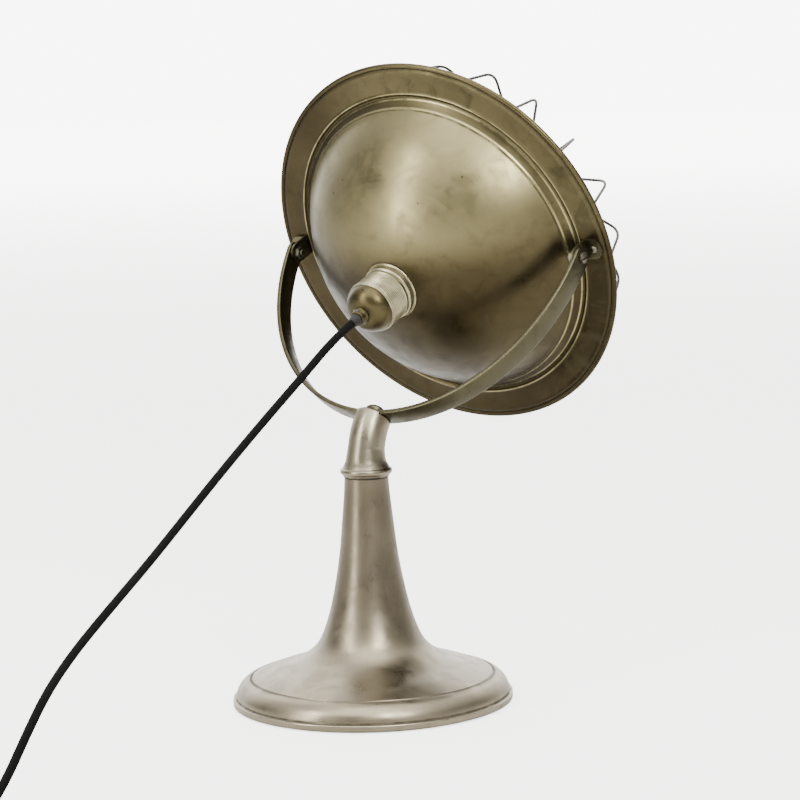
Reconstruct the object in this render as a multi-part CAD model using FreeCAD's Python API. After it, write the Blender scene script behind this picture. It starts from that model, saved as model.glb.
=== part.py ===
import FreeCAD, Part
import math
import os

# Table lamp made from a bowl heater: a trumpet stand, a bent elbow that swivels on it, a U-shaped
# yoke, and a round dish that tilts in the yoke. Units are millimetres. +Z is up, the origin is the
# centre of the base on the surface that the lamp stands on, and the dish faces -Y.

# ---------------------------------------------------------------- driving dimensions
BASE_R = 113.0                # radius of the foot
LIP_H = 6.2                   # height of the straight lip round the foot
GROOVE_R = 97.8               # groove between the moulding and the trumpet
GROOVE_Z = 21.5
STEM_R = 17.7                 # radius of the trumpet's mouth
STEM_TOP = 182.0
BASE_SCREW_R = 2.5
BOSS_PCD = 70.0
BOSS_FOOT = 14.0              # height of the bosses' lower faces
BALLAST_FOOT = 3.0            # thickness of the felt under the ballast

BUSH_R = 15.5                 # bush in the mouth of the stem
BUSH_LEN = 20.0
SPIGOT_R = 8.0
SPIGOT_LEN = 21.5
SPIGOT_THREAD_R = 6.0
SPIGOT_WASHER_T = 1.5
SPIGOT_FIT = 0.05             # radial running fit of the spigot in the bush
THRUST_T = 1.0                # space for the fibre washer between stem and elbow
FACE_GAP = 0.1                # play between a washer and the face that turns on it

ELBOW_R = 14.8
ELBOW_COLLAR_R = 20.9
ELBOW_BEND_R = 60.0
FLARE_HEIGHTS = (0.0, 2.2, 5.0, 8.5, 12.0, 16.0)
FLARE_RADII = (ELBOW_COLLAR_R - 1.9, ELBOW_R + 3.0, ELBOW_R + 1.7, ELBOW_R + 0.9, ELBOW_R + 0.45, ELBOW_R + 0.2)
ELBOW_BEND_Z = 193.6          # height at which the elbow starts to bend
YOKE_LEAN = 35.0              # degrees that the yoke leans forward from vertical

YOKE_DEPTH = 153.0            # pivot axis to the seat on the elbow
YOKE_T = 3.5
YOKE_W = 18.0
YOKE_HALF = 143.3             # half width inside, at the widest point
YOKE_RISE = 9.2               # the widest point lies this far above the pivot axis
YOKE_BOLT_R = 4.0
YOKE_WASHER_R = 8.4
ARM_FACE = 143.0              # flat face round each pivot hole
TIP_R = 9.0

PIVOT_SCREW_R = 3.0
PIVOT_FIT = 0.10
PIVOT_BEHIND = 18.0           # pivot axis behind the plane of the rim
TILT = 22.8                   # degrees that the dish faces upward at rest

SHEET = 1.0                   # thickness of the dish's sheet metal
RIM_R = 162.6
ROLL_R = 2.3                  # radius of the rolled rim
DOME_FOOT_R = 126.5
DOME_FOOT_Z = -8.8
DOME_TOP_Z = -82.5
NECK_HOLE_R = 14.0
FLANGE_Z = -2.5
WIRE_CORE_R = 1.4

EAR_OUT = 142.2               # outer face of each ear
EAR_T = 2.0
EAR_HALF_W = 8.3
LEG_END = 148.4               # centre of the leg's round end
RIVET_R = 2.0
RIVET_X = 149.0

SOCKET_R = 21.6               # lampholder, with the heights of its parts down the dish axis
INNER_R = 18.4
COLLAR_BACK = -88.0
SHELL_BACK = -108.6
CAP_RING_BACK = -112.0
CAP_BACK = -125.0
BUSHING_BACK = -131.5
SLEEVE_BACK = -139.0
GRUB_ANGLE = 132.0            # degrees round the dish axis from +X
BUSH_SCREW_ANGLE = 100.0

GUARD_WIRES = 20
GUARD_WIRE_R = 1.15
GUARD_R = 155.5               # where the guard wires stand on the rim ring
GUARD_SHOULDER = (138.0, 56.0)    # radius and height of a wire's first bend
GUARD_KNEE = (90.0, 84.0)
GUARD_ANGLE = 4.8             # degrees, position of the first wire
GUARD_CROWN = 98.0            # height of the guard's middle above the rim plane
GUARD_BENDS = (26.0, 60.0)       # radii of the two bends
GUARD_FOOT = 3.4
RING_MID_R = 52.0
RING_CENTRE_R = 22.0

CORD_R = 3.2
COIL_MID_R = 35.2             # middle of the turns
COIL_IN_R = 25.3
COIL_OUT_R = 47.0
COIL_H = 13.0
COIL_X = -33.0
COIL_Y = 521.0
PLUG_LEN = 46.0
PLUG_R = 15.0
PIN_R = 2.4
PIN_LEN = 19.0

os.makedirs("parts", exist_ok=True)


def vec(x, y, z):
    return FreeCAD.Vector(x, y, z)


X = vec(1, 0, 0)
Y = vec(0, 1, 0)
Z = vec(0, 0, 1)
ORIGIN = vec(0, 0, 0)

LEAN = math.radians(YOKE_LEAN)
SEAT = vec(0, ELBOW_BEND_R * (math.cos(LEAN) - 1), ELBOW_BEND_Z + ELBOW_BEND_R * math.sin(LEAN))
PIVOT = SEAT + vec(0, -math.sin(LEAN), math.cos(LEAN)) * YOKE_DEPTH

DOME_RISE = DOME_FOOT_Z - DOME_TOP_Z
DOME_R = (DOME_FOOT_R ** 2 + DOME_RISE ** 2) / (2 * DOME_RISE)
DOME_CENTRE_Z = DOME_TOP_Z + DOME_R

CORD_ROUTE = [
    vec(0.5, 78, 270.5), vec(1.5, 124, 242.5), vec(2.5, 170, 213.2),
    vec(2.5, 214, 184.8), vec(1, 260, 156.2), vec(0, 306, 129.5), vec(-1, 345, 106),
    vec(-1.5, 374, 83.5), vec(-1, 396, 57), vec(0.5, 413, 33), vec(3, 430, 13.5),
    vec(5.6, 449, 4.6), vec(7.4, 469, 3.6), vec(8.3, 488, 3.7),
]
LEAD_END = vec(COIL_X + COIL_MID_R + 2 * CORD_R, COIL_Y - 14, 3.9)
PLUG_NECK = vec(COIL_X - COIL_MID_R - 9.7, COIL_Y - 44.0, PLUG_R + 0.2)
TAIL_START = vec(PLUG_NECK.x, COIL_Y - 9.0, 4.8)


# ---------------------------------------------------------------- helpers
def save(name, shape):
    """Write one node after checking that it is made of valid solids."""
    if not shape.isValid() or not shape.Solids:
        raise ValueError("bad shape: " + name)
    shape.exportStep("parts/" + name + ".step")
    print(name, len(shape.Solids), "solid(s)", round(shape.Volume / 1000, 2), "cm3")


def rod(radius, base, direction, length):
    return Part.makeCylinder(radius, length, base, direction)


def tube(outer, inner, base, direction, length):
    return rod(outer, base, direction, length).cut(rod(inner, base, direction, length))


def box(low, high):
    return Part.makeBox(high[0] - low[0], high[1] - low[1], high[2] - low[2], vec(*low))


def hexagon(flats, base, direction, length, bore):
    """Hexagon nut: across flats, standing on base, with a plain bore."""
    radius = flats / math.sqrt(3)
    points = [vec(radius * math.cos(k * math.pi / 3), radius * math.sin(k * math.pi / 3), 0) for k in range(7)]
    nut = Part.Face(Part.makePolygon(points)).extrude(Z * length)
    nut = nut.cut(rod(bore, ORIGIN, Z, length))
    nut.Placement = FreeCAD.Placement(base, FreeCAD.Rotation(Z, direction))
    return nut


def line(a, b):
    return Part.LineSegment(vec(a[0], 0, a[1]), vec(b[0], 0, b[1])).toShape()


def arc(a, middle, b):
    return Part.Arc(vec(a[0], 0, a[1]), vec(middle[0], 0, middle[1]), vec(b[0], 0, b[1])).toShape()


def curve(points):
    spline = Part.BSplineCurve()
    spline.interpolate([vec(r, 0, z) for r, z in points])
    return spline.toShape()


def spin(edges):
    """Solid of revolution about Z from a closed outline of edges in (radius, height)."""
    wire = Part.Wire(Part.__sortEdges__(edges))
    solid = Part.Face(wire).revolve(ORIGIN, Z, 360)
    return Part.Solid(solid) if solid.ShapeType != "Solid" else solid


def spin_lines(points):
    closed = points + [points[0]]
    return spin([line(a, b) for a, b in zip(closed, closed[1:])])


def in_dish(shape):
    """Move a shape from the dish's own frame (axis Z, rim plane z = 0, facing +Z) to its place."""
    shape = shape.copy()
    shape.translate(Z * PIVOT_BEHIND)
    shape.rotate(ORIGIN, X, 90 - TILT)
    shape.translate(PIVOT)
    return shape


def in_yoke(shape):
    """Move a shape from the yoke's frame (pivot axis on X, seat down the -Z axis) to its place."""
    shape = shape.copy()
    shape.rotate(ORIGIN, X, YOKE_LEAN)
    shape.translate(PIVOT)
    return shape


def rounded_path(points):
    """Straight runs joined by tangent arcs, each arc as large as its two runs allow."""
    edges = []
    radii = []
    start = points[0]
    for before, corner, after in zip(points, points[1:], points[2:]):
        back = (before - corner).normalize()
        ahead = (after - corner).normalize()
        run = min((before - corner).Length, (after - corner).Length)
        turn = math.pi - back.getAngle(ahead)
        cut = 0.45 * run
        radii.append(cut / math.tan(turn / 2))
        first = corner + back * cut
        last = corner + ahead * cut
        middle_way = (back + ahead).normalize()
        centre = corner + middle_way * (radii[-1] / math.cos(turn / 2))
        middle = centre - middle_way * radii[-1]
        edges.append(Part.LineSegment(start, first).toShape())
        edges.append(Part.Arc(first, middle, last).toShape())
        start = last
    edges.append(Part.LineSegment(start, points[-1]).toShape())
    return Part.Wire(edges), radii


def cord_tube(points):
    """Round cord along the points, with its smallest radius and its volume printed."""
    path, radii = rounded_path(points)
    direction = points[1] - points[0]
    section = Part.Wire(Part.makeCircle(CORD_R, points[0], direction))
    solid = path.makePipeShell([section], True, True)
    length = path.Length
    expected = math.pi * CORD_R ** 2 * length
    print("cord run", round(length, 1), "mm, radii", [round(r) for r in radii])
    print("volume / expected", round(solid.Volume / expected, 4))
    return solid


# ---------------------------------------------------------------- stand
def trumpet_outline():
    """Outside of the base from the mouth of the stem down to the groove."""
    return [
        (STEM_R, STEM_TOP), (19.0, 163.5), (20.8, 146.0), (23.4, 122.0), (27.4, 98.0),
        (33.0, 73.5), (41.0, 52.0), (50.5, 41.0), (64.0, 33.6), (82.0, 27.6), (GROOVE_R, GROOVE_Z),
    ]


def base_trumpet():
    """Cast and plated base: trumpet, groove, round moulding and straight lip."""
    outside = trumpet_outline()
    inside = [
        (BUSH_R, STEM_TOP - BUSH_LEN), (20.9, 122.0), (24.9, 98.0), (30.5, 73.5), (38.4, 51.5),
        (49.0, 38.8), (63.0, 31.2), (81.0, 25.2), (GROOVE_R, 18.6),
    ]
    moulding_foot = (BASE_R - 2.6, LIP_H + 1.4)
    moulding_top = (GROOVE_R + 0.9, GROOVE_Z - 0.5)
    edges = [
        line((BUSH_R, STEM_TOP), (STEM_R, STEM_TOP)),
        curve(outside),
        line((GROOVE_R, GROOVE_Z), moulding_top),
        arc(moulding_top, (GROOVE_R + 9.2, 15.6), moulding_foot),
        line(moulding_foot, (BASE_R - 1.6, LIP_H)),
        line((BASE_R - 1.6, LIP_H), (BASE_R - 0.6, LIP_H)),
        arc((BASE_R - 0.6, LIP_H), (BASE_R - 0.15, LIP_H - 0.3), (BASE_R, LIP_H - 0.9)),
        line((BASE_R, LIP_H - 0.9), (BASE_R, 0.8)),
        line((BASE_R, 0.8), (BASE_R - 3.0, 0.8)),
        line((BASE_R - 3.0, 0.8), (BASE_R - 3.0, 4.5)),
        arc((BASE_R - 3.0, 4.5), (GROOVE_R + 7.0, 14.0), (GROOVE_R, 18.6)),
        curve(inside),
        line((BUSH_R, STEM_TOP - BUSH_LEN), (BUSH_R, STEM_TOP)),
    ]
    shell = spin(edges)
    for boss in base_bosses():
        shell = shell.fuse(boss)
    for spot in boss_spots():
        shell = shell.cut(rod(BASE_SCREW_R, spot, Z, 12.0))
    return shell


def boss_spots():
    angles = [math.radians(90 + 120 * k) for k in range(3)]
    return [vec(BOSS_PCD * math.cos(a), BOSS_PCD * math.sin(a), BOSS_FOOT) for a in angles]


def base_bosses():
    return [rod(6.0, spot, Z, 15.2) for spot in boss_spots()]


def ballast():
    """Cast iron disc screwed up against the bosses."""
    foot = BALLAST_FOOT
    disc = spin_lines([(30.0, foot), (106.0, foot), (106.0, 8.0), (96.0, BOSS_FOOT), (30.0, BOSS_FOOT)])
    for spot in boss_spots():
        down = vec(spot.x, spot.y, foot)
        disc = disc.cut(rod(BASE_SCREW_R, down, Z, 20.0))
        disc = disc.cut(rod(5.2, down, Z, 3.4))
    return disc


def base_screws():
    """Three cheese-head screws that hold the ballast."""
    screws = []
    for spot in boss_spots():
        head = rod(4.5, vec(spot.x, spot.y, 3.4), Z, 3.0)
        shank = rod(BASE_SCREW_R, vec(spot.x, spot.y, 6.4), Z, 17.0)
        slot = box((spot.x - 5, spot.y - 0.5, 3.4), (spot.x + 5, spot.y + 0.5, 4.6))
        screws.append(head.fuse(shank).cut(slot))
    return Part.makeCompound(screws)


def base_felt():
    """Felt disc that the lamp stands on."""
    return rod(109.5, ORIGIN, Z, BALLAST_FOOT)


def swivel_bush():
    bore = SPIGOT_R + SPIGOT_FIT
    low = STEM_TOP - BUSH_LEN
    return tube(BUSH_R, bore, vec(0, 0, low), Z, BUSH_LEN)


def thrust_washer():
    bore = SPIGOT_R + 4 * SPIGOT_FIT
    return tube(STEM_R - 1.2, bore, vec(0, 0, STEM_TOP), Z, THRUST_T - FACE_GAP)


# ---------------------------------------------------------------- elbow and yoke
def elbow_flare(low):
    """Hollow curve between the collar and the bent tube, following the tube's middle line."""
    rings = []
    for height, radius in zip(FLARE_HEIGHTS, FLARE_RADII):
        angle = max(low + height - ELBOW_BEND_Z, 0.0) / ELBOW_BEND_R
        z = min(low + height, ELBOW_BEND_Z) + ELBOW_BEND_R * math.sin(angle)
        y = ELBOW_BEND_R * (math.cos(angle) - 1)
        rings.append(Part.Wire(Part.makeCircle(radius, vec(0, y, z), vec(0, -math.sin(angle), math.cos(angle)))))
    return Part.makeLoft(rings, True)


def elbow():
    """Bent casting with a flared collar below, a spigot, and a slot for the yoke at its end."""
    foot = STEM_TOP + THRUST_T
    edges = [
        line((0, foot), (ELBOW_COLLAR_R - 2.6, foot)),
        line((ELBOW_COLLAR_R - 2.6, foot), (ELBOW_COLLAR_R - 2.0, foot + 1.6)),
        arc((ELBOW_COLLAR_R - 2.0, foot + 1.6), (ELBOW_COLLAR_R, foot + 4.4), (ELBOW_COLLAR_R - 1.9, foot + 7.0)),
        line((ELBOW_COLLAR_R - 1.9, foot + 7.0), (0, foot + 7.0)),
        line((0, foot + 7.0), (0, foot)),
    ]
    collar = spin(edges)
    start = vec(0, 0, ELBOW_BEND_Z)
    circle = Part.Face(Part.Wire(Part.makeCircle(ELBOW_R, start, Z)))
    neck = rod(ELBOW_R, vec(0, 0, foot + 6.0), Z, ELBOW_BEND_Z - foot - 6.0)
    bend = circle.revolve(vec(0, -ELBOW_BEND_R, ELBOW_BEND_Z), X, YOKE_LEAN)
    out = vec(0, -math.sin(LEAN), math.cos(LEAN))
    end = rod(ELBOW_R, SEAT, out, YOKE_T)
    rim = [edge for edge in end.Edges if (edge.CenterOfMass - (SEAT + out * YOKE_T)).Length < 0.1]
    end = end.makeFillet(2.6, rim)
    body = bend.fuse(end).fuse(neck).fuse(collar).fuse(elbow_flare(foot + 7.0))
    slot = box((-20, -YOKE_W / 2 - 0.1, -YOKE_DEPTH), (20, YOKE_W / 2 + 0.1, -YOKE_DEPTH + 2 * YOKE_T))
    body = body.cut(in_yoke(slot))
    body = body.cut(rod(YOKE_BOLT_R, SEAT, out * -1, 20.0))
    spigot = rod(SPIGOT_R, vec(0, 0, foot - SPIGOT_LEN), Z, SPIGOT_LEN + 0.5)
    thread = rod(SPIGOT_THREAD_R, vec(0, 0, foot - SPIGOT_LEN - 11.5), Z, 12.0)
    return body.fuse(spigot).fuse(thread)


def spigot_washer():
    shoulder = STEM_TOP + THRUST_T - SPIGOT_LEN
    return tube(13.5, SPIGOT_THREAD_R, vec(0, 0, shoulder - SPIGOT_WASHER_T), Z, SPIGOT_WASHER_T)


def spigot_nut():
    top = STEM_TOP + THRUST_T - SPIGOT_LEN - SPIGOT_WASHER_T
    return hexagon(19.0, vec(0, 0, top - 6.5), Z, 6.5, SPIGOT_THREAD_R)


def yoke_band(rx, rz):
    """Half ellipse in the XZ plane, below the pivot axis."""
    centre = vec(0, 0, YOKE_RISE)
    major = Part.Ellipse(centre + Z * rz, centre + X * rx, centre)
    face = Part.Face(Part.Wire(major.toShape()))
    solid = face.extrude(Y * YOKE_W)
    solid.translate(Y * (-YOKE_W / 2))
    return solid


def yoke():
    """Strap bent to a U, with a flat round tip and a hole at each pivot."""
    depth = YOKE_DEPTH - YOKE_T + YOKE_RISE
    band = yoke_band(YOKE_HALF + YOKE_T, depth + YOKE_T).cut(yoke_band(YOKE_HALF, depth))
    band = band.cut(box((-200, -20, 0), (200, 20, 200)))
    for side in (-1, 1):
        direction = X * side
        band = band.fuse(rod(TIP_R, vec(side * ARM_FACE, 0, 0), direction, YOKE_T))
        band = band.cut(rod(TIP_R + 0.4, vec(side * (ARM_FACE - 8), 0, 0), direction, 8.0))
        band = band.cut(rod(PIVOT_SCREW_R + PIVOT_FIT, vec(side * (ARM_FACE - 8), 0, 0), direction, 20.0))
    band = band.cut(rod(YOKE_BOLT_R + 0.1, vec(0, 0, -YOKE_DEPTH - 1), Z, 10.0))
    band = band.cut(rod(YOKE_WASHER_R + 0.2, vec(0, 0, -YOKE_DEPTH + YOKE_T), Z, 2.0))
    return in_yoke(band.removeSplitter())


def yoke_washer():
    base = vec(0, 0, -YOKE_DEPTH + YOKE_T)
    return in_yoke(tube(YOKE_WASHER_R, YOKE_BOLT_R, base, Z, 1.6))


def yoke_bolt():
    """Slotted round-head bolt that holds the yoke to the elbow."""
    under = -YOKE_DEPTH + YOKE_T + 1.6
    head = spin([
        line((0, under), (8.0, under)),
        line((8.0, under), (8.0, under + 2.8)),
        arc((8.0, under + 2.8), (5.0, under + 5.1), (0, under + 5.8)),
        line((0, under + 5.8), (0, under)),
    ])
    head = head.cut(box((-9, -0.7, under + 3.6), (9, 0.7, under + 7)))
    shank = rod(YOKE_BOLT_R, vec(0, 0, under - 20.0), Z, 20.0)
    return in_yoke(head.fuse(shank))


# ---------------------------------------------------------------- dish
def on_dome(radius_of_sphere, r):
    return DOME_CENTRE_Z - math.sqrt(radius_of_sphere ** 2 - r ** 2)


def dome_arc(radius_of_sphere, r_from, r_to):
    middle = (r_from + r_to) / 2
    ends = [(r, on_dome(radius_of_sphere, r)) for r in (r_from, middle, r_to)]
    return arc(*ends)


def reflector():
    """Spun dish: dome, step, fine ridge, flat flange and rolled rim."""
    inner = DOME_R - SHEET
    roll_r = RIM_R - ROLL_R
    back = [
        (DOME_FOOT_R, on_dome(DOME_R, DOME_FOOT_R)), (127.4, -8.4), (132.6, -2.9), (134.6, -1.6),
        (137.2, -3.2), (139.4, FLANGE_Z), (156.4, FLANGE_Z), (158.6, -0.3), (roll_r, -0.3),
    ]
    front = [
        (roll_r, 0.7), (158.2, 0.7), (155.8, FLANGE_Z + SHEET), (139.2, FLANGE_Z + SHEET),
        (136.9, -1.9), (134.4, -0.4), (132.0, -1.7), (126.6, -7.5),
        (DOME_FOOT_R - 1.1, on_dome(inner, DOME_FOOT_R - 1.1)),
    ]
    edges = [dome_arc(DOME_R, NECK_HOLE_R, DOME_FOOT_R)]
    edges += [line(a, b) for a, b in zip(back, back[1:])]
    edges.append(line(back[-1], front[0]))
    edges += [line(a, b) for a, b in zip(front, front[1:])]
    edges.append(dome_arc(inner, DOME_FOOT_R - 1.1, NECK_HOLE_R))
    neck_back = (NECK_HOLE_R, on_dome(DOME_R, NECK_HOLE_R))
    neck_front = (NECK_HOLE_R, on_dome(inner, NECK_HOLE_R))
    edges.append(line(neck_front, neck_back))
    sheet = spin(edges)
    roll = Part.makeTorus(roll_r, ROLL_R, vec(0, 0, 0.2), Z)
    core = Part.makeTorus(roll_r, WIRE_CORE_R, vec(0, 0, 0.2), Z)
    sheet = sheet.fuse(roll).cut(core)
    for side in (-1, 1):
        sheet = sheet.cut(rod(RIVET_R, vec(side * RIVET_X, 0, -10), Z, 20))
    return in_dish(sheet)


def rim_wire():
    return in_dish(Part.makeTorus(RIM_R - ROLL_R, WIRE_CORE_R, vec(0, 0, 0.2), Z))


def bracket(side):
    """L-shaped ear riveted to the back of the flange, threaded for the pivot screw."""
    back = FLANGE_Z
    pivot_z = -PIVOT_BEHIND
    low = min(side * (EAR_OUT - EAR_T), side * EAR_OUT)
    ear = box((low, -EAR_HALF_W, pivot_z), (low + EAR_T, EAR_HALF_W, back))
    ear = ear.fuse(rod(EAR_HALF_W, vec(low, 0, pivot_z), X, EAR_T))
    inner_edge = side * (EAR_OUT - EAR_T)
    outer_edge = side * LEG_END
    leg_low = min(inner_edge, outer_edge)
    leg_high = max(inner_edge, outer_edge)
    leg = box((leg_low, -EAR_HALF_W, back - EAR_T), (leg_high, EAR_HALF_W, back))
    leg = leg.fuse(rod(EAR_HALF_W, vec(outer_edge, 0, back - EAR_T), Z, EAR_T))
    part = ear.fuse(leg).removeSplitter()
    part = part.cut(rod(PIVOT_SCREW_R, vec(low - 1, 0, pivot_z), X, EAR_T + 2))
    part = part.cut(rod(RIVET_R, vec(side * RIVET_X, 0, back - 6), Z, 12))
    return in_dish(part)


def rivet(side):
    """Round-head rivet through leg and flange."""
    where = vec(side * RIVET_X, 0, FLANGE_Z - EAR_T)
    shank = rod(RIVET_R, where, Z, EAR_T + SHEET)
    head = Part.makeSphere(3.4, where + Z * 1.4)
    head = head.common(box((where.x - 5, -5, where.z - 5), (where.x + 5, 5, where.z)))
    tail_base = FLANGE_Z + SHEET
    tail = rod(3.2, vec(where.x, 0, tail_base), Z, 1.0)
    return in_dish(shank.fuse(head).fuse(tail))


def pivot_screw(side):
    """Slotted cheese-head screw: clear in the arm, threaded in the ear."""
    out = X * side
    head_base = ARM_FACE + YOKE_T + 0.15
    z = -PIVOT_BEHIND
    head = spin([
        line((0, 0), (4.8, 0)),
        line((4.8, 0), (4.8, 2.0)),
        arc((4.8, 2.0), (2.8, 2.9), (0, 3.2)),
        line((0, 3.2), (0, 0)),
    ])
    head = head.cut(box((-6, -0.6, 1.6), (6, 0.6, 5)))
    head.Placement = FreeCAD.Placement(vec(side * head_base, 0, z), FreeCAD.Rotation(Z, out))
    shank = rod(PIVOT_SCREW_R, vec(side * 134.5, 0, z), out, head_base - 134.5)
    return in_dish(head.fuse(shank))


def pivot_washer(side):
    """Fibre washer between ear and arm."""
    base = vec(side * EAR_OUT, 0, -PIVOT_BEHIND)
    return in_dish(tube(7.5, PIVOT_SCREW_R, base, X * side, ARM_FACE - EAR_OUT - FACE_GAP))


def pivot_nut(side):
    face = EAR_OUT - EAR_T
    base = vec(side * (face - 3.6), 0, -PIVOT_BEHIND)
    return in_dish(hexagon(9.5, base, X * side, 3.6, PIVOT_SCREW_R))


# ---------------------------------------------------------------- lampholder
def socket_collar():
    """Plated collar against the dome, with a lip, a groove and a hole for a grub screw."""
    seat_r = 23.6
    seat_z = on_dome(DOME_R, seat_r)
    edges = [
        dome_arc(DOME_R, NECK_HOLE_R, seat_r),
        line((seat_r, seat_z), (seat_r + 0.5, seat_z - 0.9)),
        line((seat_r + 0.5, seat_z - 0.9), (22.9, seat_z - 1.8)),
        line((22.9, seat_z - 1.8), (22.3, COLLAR_BACK + 1.0)),
        line((22.3, COLLAR_BACK + 1.0), (21.0, COLLAR_BACK)),
        line((21.0, COLLAR_BACK), (NECK_HOLE_R, COLLAR_BACK)),
        line((NECK_HOLE_R, COLLAR_BACK), (NECK_HOLE_R, on_dome(DOME_R, NECK_HOLE_R))),
    ]
    collar = spin(edges)
    return in_dish(collar.cut(grub_hole()))


def grub_hole():
    turn = math.radians(GRUB_ANGLE)
    out = vec(math.cos(turn), math.sin(turn), 0)
    return rod(1.6, vec(0, 0, -84.8) + out * 14.0, out, 12.0)


def collar_grub_screw():
    turn = math.radians(GRUB_ANGLE)
    out = vec(math.cos(turn), math.sin(turn), 0)
    screw = rod(1.6, vec(0, 0, -84.8) + out * 14.2, out, 6.8)
    return in_dish(screw)


def socket_shell():
    """Threaded body: plain ring at the front, fine ridges behind it."""
    ridges = 9
    pitch = 1.7
    start = COLLAR_BACK - 3.4
    points = [(INNER_R, COLLAR_BACK), (20.6, COLLAR_BACK), (SOCKET_R + 0.2, COLLAR_BACK - 0.9)]
    points.append((SOCKET_R + 0.2, start))
    for k in range(ridges):
        top = start - k * pitch
        points.append((SOCKET_R - 0.6, top - pitch * 0.35))
        points.append((SOCKET_R, top - pitch * 0.65))
        points.append((SOCKET_R, top - pitch))
    points.append((SOCKET_R - 0.9, SHELL_BACK))
    points.append((INNER_R, SHELL_BACK))
    return in_dish(spin_lines(points))


def cap_ring():
    """Stepped ring that joins the body and the cap."""
    mid = (SHELL_BACK + CAP_RING_BACK) / 2
    points = [
        (INNER_R, SHELL_BACK), (SOCKET_R, SHELL_BACK), (SOCKET_R + 0.3, SHELL_BACK - 0.5),
        (SOCKET_R + 0.3, mid + 0.2), (SOCKET_R - 0.5, mid), (SOCKET_R + 0.1, mid - 0.2),
        (SOCKET_R - 0.3, CAP_RING_BACK), (INNER_R, CAP_RING_BACK),
    ]
    return in_dish(spin_lines(points))


def socket_cap():
    """Brass dome cap, 1 mm thick."""
    front = CAP_RING_BACK
    edges = [
        line((19.4, front), (20.4, front)),
        arc((20.4, front), (16.2, front - 8.6), (6.6, CAP_BACK)),
        line((6.6, CAP_BACK), (5.0, CAP_BACK)),
        line((5.0, CAP_BACK), (5.4, CAP_BACK + 1.2)),
        arc((5.4, CAP_BACK + 1.2), (15.0, front - 7.6), (19.4, front)),
    ]
    return in_dish(spin(edges))


def cord_bush():
    """Nipple on the cap with a clamping screw for the cord."""
    points = [
        (CORD_R, CAP_BACK), (7.4, CAP_BACK), (7.4, CAP_BACK - 1.2), (6.5, CAP_BACK - 2.0),
        (6.3, BUSHING_BACK + 0.6), (5.6, BUSHING_BACK), (CORD_R, BUSHING_BACK),
    ]
    bush = spin_lines(points)
    return in_dish(bush.cut(bush_screw_solid(0.0)))


def bush_screw_solid(proud):
    turn = math.radians(BUSH_SCREW_ANGLE)
    out = vec(math.cos(turn), math.sin(turn), 0)
    return rod(1.3, vec(0, 0, -129.3) + out * CORD_R, out, 3.6 + proud)


def bush_screw():
    return in_dish(bush_screw_solid(0.6))


def porcelain_insert():
    """Porcelain core that carries the contacts."""
    front = COLLAR_BACK + 0.4
    points = [
        (2.0, -106.0), (2.0, -96.0), (15.4, -96.0), (15.4, front - 0.6), (INNER_R, front - 0.6),
        (INNER_R, -106.0),
    ]
    body = spin_lines(points)
    for side in (-1, 1):
        body = body.cut(rod(1.8, vec(side * 9.0, 0, -106.0), Z, 6.0))
    return in_dish(body)


def lamp_screw_shell():
    """Brass screw shell that takes the lamp cap."""
    return in_dish(tube(13.9, 13.3, vec(0, 0, -96.0), Z, 24.0))


def centre_contact():
    """Sprung centre contact on its stud."""
    stud = rod(2.0, vec(0, 0, -108.0), Z, 12.6)
    button = rod(4.0, vec(0, 0, -95.4), Z, 1.6)
    return in_dish(stud.fuse(button))


def terminal_screws():
    screws = []
    for side in (-1, 1):
        shank = rod(1.8, vec(side * 9.0, 0, -106.0), Z, 6.0)
        head = rod(3.2, vec(side * 9.0, 0, -108.0), Z, 2.0)
        screws.append(shank.fuse(head))
    return in_dish(Part.makeCompound(screws))


def cord_sleeve():
    """Tapered rubber sleeve where the cord leaves the nipple."""
    points = [
        (CORD_R, BUSHING_BACK), (4.9, BUSHING_BACK), (4.6, BUSHING_BACK - 3.0),
        (3.7, SLEEVE_BACK), (CORD_R, SLEEVE_BACK),
    ]
    return in_dish(spin_lines(points))


def cord_inner():
    """End of the cord inside the nipple and the cap."""
    return in_dish(rod(CORD_R, vec(0, 0, SLEEVE_BACK), Z, -109.0 - SLEEVE_BACK))


# ---------------------------------------------------------------- lamp
def bulb_cap():
    """Screw cap of the lamp, 26 mm."""
    points = [
        (0, -93.8), (4.6, -93.8), (6.0, -92.0), (12.6, -90.0), (13.2, -88.6), (13.2, -70.0),
        (14.4, -67.6), (13.3, -67.6), (12.1, -70.0), (12.0, -88.0), (0, -91.0),
    ]
    return in_dish(spin_lines(points))


def bulb_glass():
    """Pear-shaped bulb, 60 mm across, 1 mm glass."""
    outer = [(12.0, -70.0), (14.6, -63.0), (19.5, -54.0), (27.0, -43.0), (30.0, -31.0), (26.5, -15.5)]
    outer += [(15.5, -4.8), (0.0, -1.0)]
    inner = [(0.0, -2.2), (15.0, -5.9), (25.4, -16.2), (28.8, -31.0), (25.9, -42.6), (18.5, -53.4)]
    inner += [(13.6, -62.6), (10.9, -70.0)]
    edges = [curve(outer), line(outer[-1], inner[0]), curve(inner), line(inner[-1], outer[0])]
    return in_dish(spin(edges))


def bulb_stem():
    """Glass stem with its collar."""
    points = [(0, -70.0), (10.8, -70.0), (4.5, -61.0), (3.2, -46.0), (2.4, -38.0), (0, -38.0)]
    return in_dish(spin_lines(points))


def filament():
    """Ring of coiled wire on the stem."""
    ring = Part.makeTorus(9.0, 0.5, vec(0, 0, -37.0), Z)
    bar = rod(0.5, vec(-9.0, 0, -37.0), X, 18.0)
    return in_dish(ring.fuse(bar))


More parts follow.
